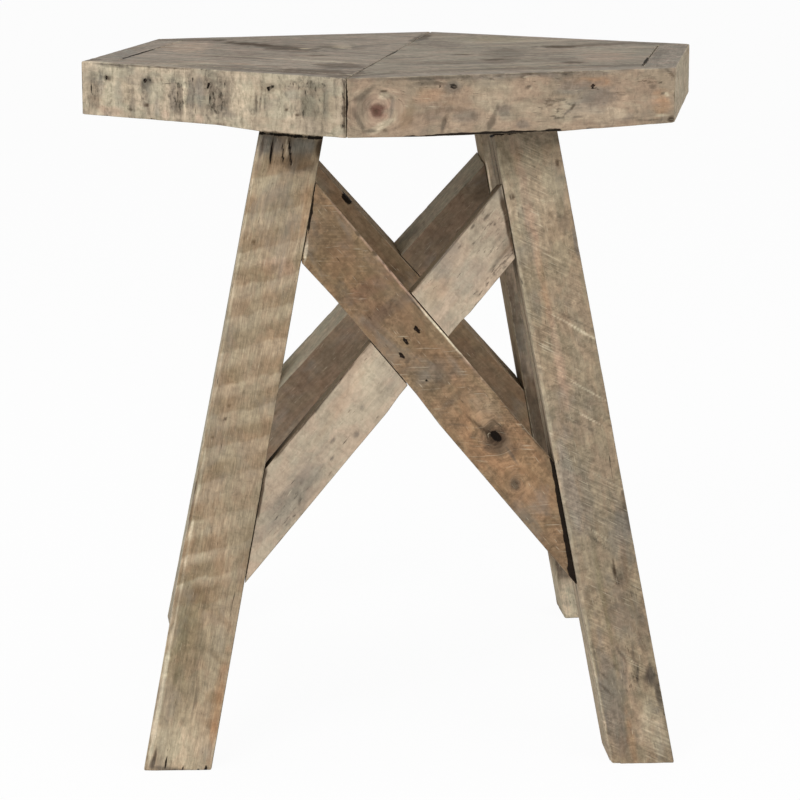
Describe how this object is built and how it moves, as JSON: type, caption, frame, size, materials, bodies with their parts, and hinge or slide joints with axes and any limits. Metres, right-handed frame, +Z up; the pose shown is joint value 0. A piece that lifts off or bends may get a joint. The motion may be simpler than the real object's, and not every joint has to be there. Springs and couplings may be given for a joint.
{
  "type": "plant table",
  "caption": "Rustic hexagonal side table of reclaimed wood: mitred border round a board core, on leaning trestles of splayed square legs with half-lapped X braces.",
  "frame": {"origin": "on the floor under the middle of the hexagonal top", "axes": "+Z up; -Y towards the front of the picture, where the lighter X is; +X to the right"},
  "size_m": [0.4792, 0.4984, 0.508],
  "materials": {
    "grey_core_wood": "weathered, sawn, unfinished",
    "pale_border_wood": "weathered, sawn, unfinished",
    "knotty_border_wood": "weathered, knotty, unfinished",
    "rail_wood": "sawn, unfinished",
    "leg_wood": "weathered, sawn, unfinished",
    "brown_brace_wood": "weathered, brown, unfinished",
    "light_brace_wood": "weathered, light, unfinished",
    "screw_steel": "dull zinc",
    "nail_iron": "rusted"
  },
  "bodies": {
    "root": {"border_back_left": "pale_border_wood", "border_back_right": "pale_border_wood", "border_front_left": "pale_border_wood", "border_front_right": "knotty_border_wood", "border_left": "pale_border_wood", "border_nail_back_left_1": "nail_iron", "border_nail_back_left_2": "nail_iron", "border_nail_back_right_1": "nail_iron", "border_nail_back_right_2": "nail_iron", "border_nail_front_left_1": "nail_iron", "border_nail_front_left_2": "nail_iron", "border_nail_front_left_3": "nail_iron", "border_nail_front_left_4": "nail_iron", "border_nail_front_right_1": "nail_iron", "border_nail_front_right_2": "nail_iron", "border_nail_front_right_3": "nail_iron", "border_nail_front_right_4": "nail_iron", "border_nail_left_1": "nail_iron", "border_nail_left_2": "nail_iron", "border_nail_right_1": "nail_iron", "border_nail_right_2": "nail_iron", "border_right": "pale_border_wood", "brace_front_falling": "brown_brace_wood", "brace_front_rising": "light_brace_wood", "brace_rear_falling": "brown_brace_wood", "brace_rear_rising": "light_brace_wood", "brace_screw_front_falling_left": "screw_steel", "brace_screw_front_falling_right": "screw_steel", "brace_screw_front_rising_left": "screw_steel", "brace_screw_front_rising_right": "screw_steel", "brace_screw_rear_falling_left": "screw_steel", "brace_screw_rear_falling_right": "screw_steel", "brace_screw_rear_rising_left": "screw_steel", "brace_screw_rear_rising_right": "screw_steel", "core_board_left": "grey_core_wood", "core_board_right": "grey_core_wood", "core_screw_front_1": "screw_steel", "core_screw_front_2": "screw_steel", "core_screw_front_3": "screw_steel", "core_screw_rear_1": "screw_steel", "core_screw_rear_2": "screw_steel", "core_screw_rear_3": "screw_steel", "lap_nail_front_1": "nail_iron", "lap_nail_front_2": "nail_iron", "lap_nail_front_3": "nail_iron", "lap_nail_rear_1": "nail_iron", "lap_nail_rear_2": "nail_iron", "lap_nail_rear_3": "nail_iron", "leg_front_left": "leg_wood", "leg_front_right": "leg_wood", "leg_rear_left": "leg_wood", "leg_rear_right": "leg_wood", "leg_screw_front_left": "screw_steel", "leg_screw_front_right": "screw_steel", "leg_screw_rear_left": "screw_steel", "leg_screw_rear_right": "screw_steel", "mitre_nail": "nail_iron", "rail_front": "rail_wood", "rail_rear": "rail_wood"}
  },
  "joints": []
}
